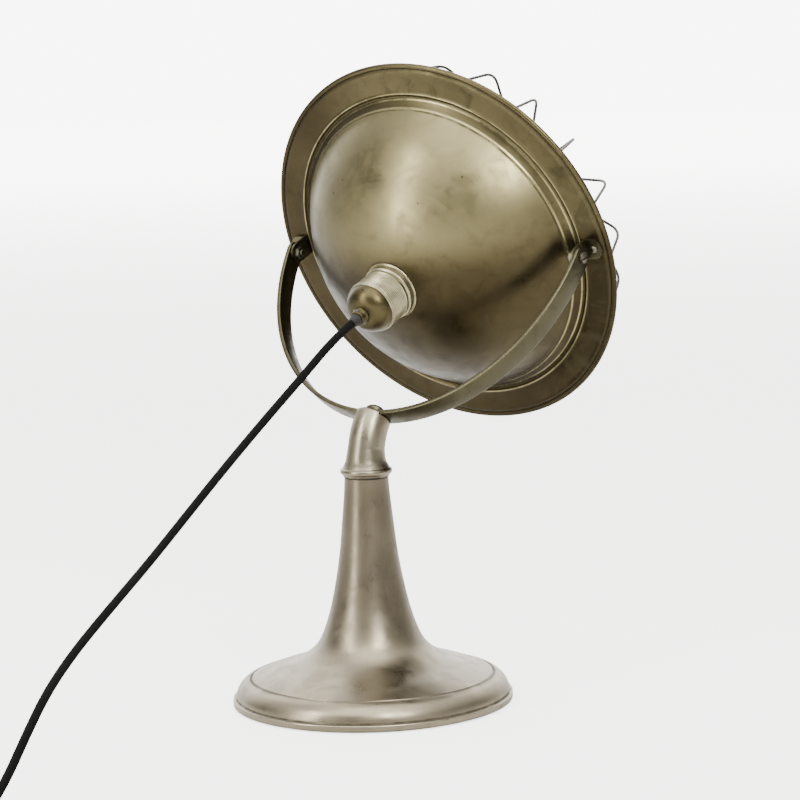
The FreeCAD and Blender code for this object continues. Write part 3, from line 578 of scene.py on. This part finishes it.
def smooth_line(points, order=3):
    """The NURBS curve of the points, sampled in even steps by Blender's own curve code."""
    data = bpy.data.curves.new("line", "CURVE")
    data.dimensions = "3D"
    spline = data.splines.new("NURBS")
    spline.points.add(len(points) - 1)
    for spot, point in zip(spline.points, points):
        spot.co = (*(point * MM), 1.0)
    spline.order_u = order
    spline.use_endpoint_u = True
    spline.resolution_u = 8
    thing = bpy.data.objects.new("line", data)
    bpy.context.scene.collection.objects.link(thing)
    bpy.context.view_layer.update()
    mesh = bpy.data.meshes.new_from_object(thing.evaluated_get(bpy.context.evaluated_depsgraph_get()))
    line = [vertex.co.copy() for vertex in mesh.vertices]
    bpy.data.objects.remove(thing)
    bpy.data.curves.remove(data)
    bpy.data.meshes.remove(mesh)
    return line


# ---------------------------------------------------------------- meshes
def make_object(name, build, place, paint, sharp=32.0):
    """Turn a bmesh in metres into a smooth-shaded object at place; edges above sharp degrees stay sharp."""
    build.normal_update()
    for face in build.faces:
        face.smooth = True
    for edge in build.edges:
        if len(edge.link_faces) == 2:
            edge.smooth = edge.calc_face_angle(0.0) < math.radians(sharp)
    mesh = bpy.data.meshes.new(name)
    build.to_mesh(mesh)
    build.free()
    thing = bpy.data.objects.new(name, mesh)
    bpy.context.scene.collection.objects.link(thing)
    thing.matrix_world = place
    mesh.materials.append(paint)
    return thing


def make_piece(name, build, place, slot, body, node_name, sharp=32.0):
    """Piece that rides on a body and stands for one CAD node."""
    thing = make_object(name, build, place, PAINT[slot], sharp)
    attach(thing, body)
    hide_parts(node_name)
    return thing


def ring_of(build, r, z, turns, wobble):
    """Vertices round the axis at (r, z) in mm; a point on the axis gives one vertex."""
    if r < 1e-6:
        return [build.verts.new((0, 0, z * MM))]
    ring = []
    for k in range(turns):
        angle = 2 * math.pi * k / turns
        spot = Vector((r * math.cos(angle), r * math.sin(angle), z))
        if wobble:
            spot.z += wobble * noise.noise(spot * 0.018)
        ring.append(build.verts.new(spot * MM))
    return ring


def lathe(outline, turns=160, wobble=0.0):
    """Solid of revolution from a closed outline of (r, z) in mm, up to wobble mm out of true."""
    build = bmesh.new()
    rings = [ring_of(build, r, z, turns, wobble) for r, z in outline]
    for lower, upper in zip(rings, rings[1:] + rings[:1]):
        if len(lower) == 1 and len(upper) == 1:
            continue
        for k in range(turns):
            m = (k + 1) % turns
            corners = [lower[k % len(lower)], lower[m % len(lower)]]
            corners += [upper[m % len(upper)], upper[k % len(upper)]]
            build.faces.new([v for i, v in enumerate(corners) if v not in corners[:i]])
    bmesh.ops.recalc_face_normals(build, faces=build.faces)
    return build


def tube_rings(build, points, radius, sides, closed):
    """Rings of vertices round the points, turned as little as possible from one to the next."""
    count = len(points)
    angles = [2 * math.pi * s / sides for s in range(sides)]
    rings = []
    side = None
    for k, point in enumerate(points):
        before = points[k - 1] if closed or k > 0 else points[0]
        after = points[(k + 1) % count] if closed or k < count - 1 else points[-1]
        ahead = (after - before).normalized()
        if side is None:
            side = ahead.orthogonal().normalized()
        side = (side - ahead * side.dot(ahead)).normalized()
        other = ahead.cross(side)
        size = radius(k / (count - 1)) if callable(radius) else radius
        spots = [point + (side * math.cos(angle) + other * math.sin(angle)) * size for angle in angles]
        rings.append([build.verts.new(spot) for spot in spots])
    return rings


def tube(build, points, radius, sides, closed=False, paint_face=None):
    """Round tube along points (metres), with caps; radius may be a function of the share of the way.

    paint_face(face, k, s) is called for each face, with the numbers of its point and its side."""
    rings = tube_rings(build, points, radius, sides, closed)
    for k in range(len(points) if closed else len(points) - 1):
        near, far = rings[k], rings[(k + 1) % len(points)]
        for s in range(sides):
            m = (s + 1) % sides
            face = build.faces.new((near[s], near[m], far[m], far[s]))
            if paint_face:
                paint_face(face, k, s)
    if not closed:
        build.faces.new(list(reversed(rings[0])))
        build.faces.new(rings[-1])


# ---------------------------------------------------------------- cord
def cord_route():
    """Points from the lampholder down to the coil, in millimetres, as in the CAD model."""
    return [Vector(point) for point in (
        (0, 12.95, 306.46), (0, 36.0, 296.77), (0.5, 78, 270.5), (1.5, 124, 242.5), (2.5, 170, 213.2),
        (2.5, 214, 184.8), (1, 260, 156.2), (0, 306, 129.5), (-1, 345, 106), (-1.5, 374, 83.5), (-1, 396, 57),
        (0.5, 413, 33), (3, 430, 13.5), (5.6, 449, 4.6), (7.4, 469, 3.6), (8.3, 488, 3.5),
    )]


def coil_points():
    """Five and a half turns: two inwards on the floor, one climbing, two outwards on top, and half down."""
    outer = COIL_MID_R + LANE
    inner = COIL_MID_R - LANE
    low = CORD_R + 0.1
    per_turn = 16
    swell = 1.0 / (0.75 + 0.25 * math.cos(2 * math.pi / per_turn))  # the curve cuts its points' corners
    points = []
    for k in range(int(5.5 * per_turn) + 1):
        turn = k / per_turn
        if turn <= 2:
            r, z = outer - LANE * turn, low
        elif turn <= 3:
            part = turn - 2
            r = COIL_MID_R - LANE * part - LANE * math.cos(part * math.pi / 2)
            z = low + LANE * math.sin(part * math.pi / 2)
        elif turn <= 5:
            r, z = inner + LANE * (turn - 3), low + LANE
        else:
            part = (turn - 5) * 2
            r = outer - LANE * part / 2 + LANE * math.sin(part * math.pi / 2)
            z = low + LANE * math.cos(part * math.pi / 2)
        angle = 2 * math.pi * turn
        points.append(Vector((COIL_X + swell * r * math.cos(angle), COIL_Y + swell * r * math.sin(angle), z)))
    return points


def tail_points():
    """From the coil up into the neck of the plug."""
    places = ((510, 3.4), (500, 6.5), (489, 12.5), (480, PLUG_Z), (471, PLUG_Z))
    return [Vector((TAIL_X, y, z)) for y, z in places]


def make_cord():
    """The whole lead as one braided tube; returns it with its middle line."""
    line = smooth_line(cord_route() + coil_points() + tail_points())
    build = bmesh.new()
    layer = build.loops.layers.uv.new("cord")
    sides, strands, pitch = 20, 8.0, 0.0024
    runs = [0.0]
    for a, b in zip(line, line[1:]):
        runs.append(runs[-1] + (b - a).length)

    def paint_face(face, k, s):
        left, right = s / sides * strands, (s + 1) / sides * strands
        near, far = runs[k] / pitch, runs[k + 1] / pitch
        for loop, place in zip(face.loops, ((left, near), (right, near), (right, far), (left, far))):
            loop[layer].uv = place

    tube(build, line, CORD_R * MM, sides, paint_face=paint_face)
    lead = make_object("lamp_cord", build, STAND, PAINT["cord_braid"], sharp=60)
    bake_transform(lead)
    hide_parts("cord", "cord_coil", "cord_tail")
    return lead, line


def cord_tie():
    """Two turns of thin waxed twine round the wound cord, with a small knot."""
    build = bmesh.new()
    low, high = 1.0, 13.6
    near, far = COIL_Y + 24.6, COIL_Y + 47.6
    steps, squareness = 48, 0.45
    for offset in (-1.1, 1.1):
        turn = []
        for k in range(steps):
            across = math.cos(2 * math.pi * k / steps)
            upward = math.sin(2 * math.pi * k / steps)
            y = (near + far) / 2 + (far - near) / 2 * math.copysign(abs(across) ** squareness, across)
            z = (low + high) / 2 + (high - low) / 2 * math.copysign(abs(upward) ** squareness, upward)
            turn.append(Vector((COIL_X + offset, y, z)) * MM)
        tube(build, turn, 0.9 * MM, 10, closed=True)
    knot = [Vector((COIL_X + x, COIL_Y + y, z)) * MM for x, y, z in (
        (-3.6, 33, 14.3), (-1.4, 35.5, 14.6), (0.8, 37.5, 14.6), (1.4, 34.5, 14.7), (-0.6, 33.6, 14.7),
        (-1.8, 37.2, 14.6), (0.6, 40.6, 14.4),
    )]
    tube(build, knot, 0.8 * MM, 8)
    return make_piece("coil_tie", build, STAND, "cord_braid", "neck", "cord_tie", sharp=60)


def plug():
    """Round moulded plug with grip ribs, and its two pins."""
    outline = [(0, 0)] + arc((3.6, 0.0), (5.0, 0.6), (5.4, 2.2), 5)
    outline += through([(5.6, 6.0), (6.4, 12.0), (9.6, 17.4), (13.0, 21.0), (14.6, 26.0), (14.9, 31.0)], 6)
    for k in range(5):
        at = 32.0 + 2.2 * k
        outline += [(14.9, at), (14.2, at + 0.5), (14.2, at + 1.1), (14.9, at + 1.6)]
    outline += arc((14.9, 44.6), (14.6, 45.7), (13.6, 46.0), 4) + [(0, 46.0)]
    place = Matrix.Translation(Vector((PLUG_X, COIL_Y - 44.0, PLUG_Z)) * MM)
    place = place @ Matrix.Rotation(math.pi / 2, 4, "X")
    build = lathe(outline, 64)
    body = make_piece("plug_moulding", build, place, "plug_plastic", "neck", "plug_body", sharp=40)
    build = bmesh.new()
    for x in (-9.5, 9.5):
        line = [Vector((x, 0, z)) * MM for z in (44.0, 46.0, 55.0, 62.0, 64.0, 64.8)]
        tube(build, line, lambda t: 2.4 * MM * (1.0 if t < 0.75 else 0.78), 20)
    pins = make_piece("plug_pin_pair", build, place, "old_brass", "neck", "plug_pins")
    return body, pins


def lead_and_plug():
    """The cord with what is on it."""
    lead, line = make_cord()
    tie = cord_tie()
    body, pins = plug()


# ---------------------------------------------------------------- floor, foot and yoke
def floor():
    """Wide flat floor just under the felt."""
    build = bmesh.new()
    bmesh.ops.create_grid(build, x_segments=4, y_segments=4, size=30.0)
    make_object("floor", build, Matrix.Translation((0, 0, -0.0002)), floor_white())


def foot():
    """Trumpet, groove, round moulding and lip outside, and the hollow inside."""
    trumpet = [
        (17.7, 182.0), (18.1, 174.0), (19.0, 163.5), (20.8, 146.0), (23.4, 122.0), (27.4, 98.0), (33.0, 73.5),
        (41.0, 52.0), (50.5, 41.0), (64.0, 33.6), (82.0, 27.6), (96.8, 22.0),
    ]
    outline = [(15.6, 181.4), (16.2, 182.0)] + through(trumpet, 10)
    outline += arc((96.8, 22.0), (97.9, 20.9), (98.9, 21.4), 4)
    outline += arc((98.9, 21.4), (107.2, 15.6), (110.4, 7.6), 22)
    outline += [(110.7, 6.5), (111.5, 6.1)] + arc((112.1, 6.1), (112.8, 5.8), (113.0, 5.0), 4)
    outline += [(113.0, 3.0), (112.8, 1.2), (112.2, 0.8), (110.0, 0.8)]
    outline += [
        (110.0, 4.5), (104.0, 14.2), (97.0, 18.6), (81.0, 24.6), (63.0, 30.4), (48.4, 38.4), (37.6, 51.5),
        (29.8, 73.5), (24.4, 98.0), (20.4, 122.0), (15.6, 162.0),
    ]
    build = lathe(outline, 256, 0.12)
    make_piece("lamp_foot", build, STAND, "base_nickel", "stand", "base_trumpet", sharp=30)


def strap_section(half):
    """Corners of the strap, half wide each way, with two-step eased edges, as (width, thickness) pairs."""
    thick, ease = STRAP_HALF_THICK, STRAP_EASE
    small = 0.3 * ease
    right = [(half, thick - ease), (half - small, thick - small), (half - ease, thick)]
    top = right + [(-w, t) for w, t in reversed(right)]
    return top + [(w, -t) for w, t in reversed(top)]


def yoke_angles(reach):
    """Angles along the strap from tip to tip, even along it and close together round each tip."""
    arms = [math.radians(-86.5 + 173.0 * k / 160) for k in range(161)]
    heights = [STRAP_HALF_WIDTH * math.sin(math.radians(7 * k)) for k in range(13)]
    tip = [math.asin((z - YOKE_RISE) / reach) + math.pi / 2 for z in heights]
    return [-angle for angle in reversed(tip)] + arms + tip


def yoke_strap():
    """Bent strap with eased edges and round tips."""
    build = bmesh.new()
    across = YOKE_INNER_X + STRAP_HALF_THICK
    reach = YOKE_INNER_Z + STRAP_HALF_THICK
    rings = []
    for angle in yoke_angles(reach):
        x = across * math.sin(angle)
        z = YOKE_RISE - reach * math.cos(angle)
        along = Vector((across * math.cos(angle), 0, reach * math.sin(angle))).normalized()
        out = Vector((along.z, 0, -along.x))
        half = STRAP_HALF_WIDTH
        if z > 0:
            half = math.sqrt(max(STRAP_HALF_WIDTH ** 2 - min(z, 8.98) ** 2, 0.4))
        rings.append([build.verts.new((Vector((x, w, z)) + out * t) * MM) for w, t in strap_section(half)])
    for near, far in zip(rings, rings[1:]):
        for k in range(len(near)):
            m = (k + 1) % len(near)
            build.faces.new((near[k], near[m], far[m], far[k]))
    build.faces.new(rings[0])
    build.faces.new(list(reversed(rings[-1])))
    bmesh.ops.recalc_face_normals(build, faces=build.faces)
    make_piece("yoke_strap", build, YOKE, "yoke_nickel", "neck", "yoke", sharp=50)


# ---------------------------------------------------------------- dish, lampholder and lamp
def on_dome(r, sphere=DOME_R):
    """Height on the dome, or on a sphere of another radius about the same centre."""
    return DOME_BACK + DOME_R - math.sqrt(sphere ** 2 - r ** 2)


def turned(name, outline, slot, node_name, turns=96, wobble=0.0, sharp=30):
    """Turned piece on the dish's axis."""
    make_piece(name, lathe(outline, turns, wobble), DISH, slot, "dish", node_name, sharp)


def dish():
    """Spun dish in one outline: back of the dome, step, ridge, flange, rolled rim, and the front."""
    back = [(r, on_dome(r)) for r in [14 + 112.0 * k / 60 for k in range(61)]]
    back += [(126.9, -8.75), (127.4, -8.2)] + through([(127.6, -7.8), (130.0, -5.2), (132.3, -3.1)], 3)
    back += [(132.9, -2.75)] + through([(133.6, -1.9), (134.6, -1.6), (135.6, -2.2)], 4)
    back += through([(136.4, -3.0), (137.2, -3.25), (138.0, -2.9)], 4)
    back += through([(138.8, -2.45), (142.0, -2.15), (148.0, -2.1), (154.0, -2.35)], 4)
    back += through([(156.0, -2.3), (157.4, -1.7), (158.4, -0.9)], 3)
    roll_angles = [math.radians(degrees) for degrees in range(-152, 160, 12)]
    roll = [(160.3 + 2.3 * math.cos(angle), 0.2 + 2.3 * math.sin(angle)) for angle in roll_angles]
    front = [(157.9, 0.9), (156.0, -0.9), (153.8, -1.3), (142.0, -1.15), (139.0, -1.4)]
    front += [(137.0, -1.95), (134.6, -0.6), (132.0, -1.7), (126.6, -7.3)]
    front += [(r, on_dome(r, DOME_R - DISH_SHEET)) for r in [125.4 - 111.4 * k / 60 for k in range(61)]]
    turned("dish_bowl", back + roll + front, "dish_nickel", "reflector", turns=288, wobble=0.25, sharp=24)


def lampholder():
    """Collar with its lip, threaded body, stepped ring, brass cap, nipple and sleeve."""
    seat = on_dome(23.6)
    collar = [(14.0, on_dome(14.0) - 0.05), (23.4, seat - 0.05)]
    collar += arc((23.6, seat - 0.1), (24.1, seat - 0.5), (23.9, seat - 1.1), 4)
    collar += [(23.3, -81.3), (22.8, -81.8), (22.7, -86.6), (22.2, -87.4), (21.2, -88.0), (14.0, -88.0)]
    turned("holder_collar", collar, "holder_nickel", "socket_collar")

    body = [(18.4, -88.0), (20.6, -88.0), (21.5, -88.2), (21.9, -88.8), (21.9, -91.0), (21.5, -91.4)]
    thread_pitch = 1.8
    at = -91.7
    for _ in range(9):
        body += [(20.9, at - 0.25), (21.1, at - 0.55), (21.65, at - 0.95)]
        body += [(21.65, at - 1.25), (21.1, at - 1.6)]
        at -= thread_pitch
    body += [(21.0, -108.3), (20.7, -108.6), (18.4, -108.6)]
    turned("holder_body", body, "holder_nickel", "socket_shell")

    ring = [(18.4, -108.6), (21.4, -108.6)] + arc((21.6, -108.7), (21.95, -109.3), (21.6, -109.9), 5)
    ring += [(20.9, -110.1)] + arc((21.3, -110.3), (21.6, -110.9), (21.2, -111.5), 5)
    ring += [(20.6, -112.0), (18.4, -112.0)]
    turned("holder_ring", ring, "holder_nickel", "cap_ring")

    cap = [(19.4, -112.0), (20.4, -112.0)] + arc((20.5, -112.3), (16.4, -120.5), (7.6, -124.6), 24)
    cap += [(6.6, -125.0), (5.0, -125.0), (5.4, -123.8)]
    cap += arc((6.6, -123.6), (15.2, -119.6), (19.3, -112.6), 16)
    turned("holder_cap", cap, "old_brass", "socket_cap")

    nipple = [(3.2, -125.0)] + arc((7.0, -125.0), (7.5, -125.4), (7.3, -126.1), 4)
    nipple += [(6.6, -126.8), (6.4, -127.2), (6.3, -130.6)]
    nipple += arc((6.2, -131.0), (5.9, -131.4), (5.4, -131.5), 3) + [(3.2, -131.5)]
    turned("holder_nipple", nipple, "old_brass", "cord_bush")

    sleeve = [(3.2, -131.5), (4.7, -131.5), (4.9, -131.9), (4.7, -133.6), (4.2, -136.4)]
    sleeve += [(3.75, -138.8), (3.2, -139.0)]
    turned("cord_strain_sleeve", sleeve, "sleeve_rubber", "cord_sleeve", turns=48)


def bulb():
    """Clear pear-shaped lamp."""
    glass_wall = 0.9
    outer = through([
        (12.1, -69.6), (13.0, -66.5), (15.4, -61.5), (19.7, -54.0), (26.4, -43.5), (29.4, -36.0),
        (30.0, -29.5), (28.4, -20.5), (23.6, -11.5), (15.0, -4.6), (7.0, -1.7), (0.0, -1.0),
    ], 6)
    inner = [(max(r - glass_wall, 0.0), z if r > 3 else z - glass_wall) for r, z in reversed(outer)]
    inner[0] = (0.0, -1.9)
    turned("bulb_envelope", outer + inner, "bulb_clear", "bulb_glass", sharp=60)


# ---------------------------------------------------------------- guard
def guard_piece(name, build, node_name):
    make_piece(name, build, DISH, "guard_steel", "dish", node_name, sharp=60)


def guard_wires():
    """Bent wires from the rim ring to the centre, each a little out of true."""
    build = bmesh.new()
    for k in range(GUARD_WIRES):
        angle = math.radians(GUARD_ANGLE + 360.0 / GUARD_WIRES * k + 0.7 * math.sin(5.1 * k))
        lift = 3.0 * math.sin(2.3 * k - 0.5)
        shoulder = (GUARD_SHOULDER[0], GUARD_SHOULDER[1] + lift)
        knee = (GUARD_KNEE[0], GUARD_KNEE[1] + lift / 2)
        shape = bent([GUARD_FOOT, shoulder, knee, GUARD_CROWN], (40.0, 60.0))
        spin = Matrix.Rotation(angle, 3, "Z")
        tube(build, [spin @ Vector((r, 0, z)) * MM for r, z in shape], GUARD_WIRE_R * MM, 12)
    guard_piece("guard_wire_set", build, "guard_wires")


def guard_ring(node_name, radius, height):
    """Ring of guard wire about the dish's axis."""
    build = bmesh.new()
    steps = 240
    start = Vector((radius, 0, height)) * MM
    line = [Matrix.Rotation(2 * math.pi * k / steps, 3, "Z") @ start for k in range(steps)]
    tube(build, line, GUARD_WIRE_R * MM, 12, closed=True)
    guard_piece(node_name + "_wire", build, node_name)


def guard():
    """The wires with their rings, which lie just behind them."""
    guard_wires()
    guard_ring("guard_ring_rim", GUARD_FOOT[0], 2.25)
    slope = (GUARD_CROWN[1] - GUARD_KNEE[1]) / (GUARD_KNEE[0] - GUARD_CROWN[0])
    for node_name, radius in (("guard_ring_middle", 52.0), ("guard_ring_centre", 24.0)):
        guard_ring(node_name, radius, GUARD_KNEE[1] + (GUARD_KNEE[0] - radius) * slope - RING_DROP)


# ---------------------------------------------------------------- CAD nodes that stay
def paint_nodes():
    """Give the remaining CAD nodes their materials."""
    names_by_paint = {
        "elbow_nickel": ["elbow"],
        "yoke_nickel": ["yoke_bolt", "bracket_left", "bracket_right"],
        "screw_steel": [
            "base_screws", "spigot_washer", "spigot_nut", "yoke_washer", "rivet_left", "rivet_right",
            "pivot_screw_left", "pivot_screw_right", "pivot_nut_left", "pivot_nut_right", "collar_grub_screw",
            "bush_screw",
        ],
        "old_brass": ["swivel_bush", "lamp_screw_shell", "centre_contact", "terminal_screws", "bulb_cap"],
        "guard_steel": ["rim_wire", "filament"],
        "iron": ["ballast"],
        "felt": ["base_felt"],
        "fibre": ["thrust_washer", "pivot_washer_left", "pivot_washer_right"],
        "porcelain": ["porcelain_insert"],
        "bulb_clear": ["bulb_stem"],
        "cord_braid": ["cord_inner"],
    }
    for paint, names in names_by_paint.items():
        for name in names:
            slots = frame["nodes"][name].data.materials
            slots.clear()
            slots.append(PAINT[paint])


# ---------------------------------------------------------------- the scene
camera()
lights()
world()
lead_and_plug()
floor()
foot()
yoke_strap()
dish()
lampholder()
bulb()
guard()
paint_nodes()
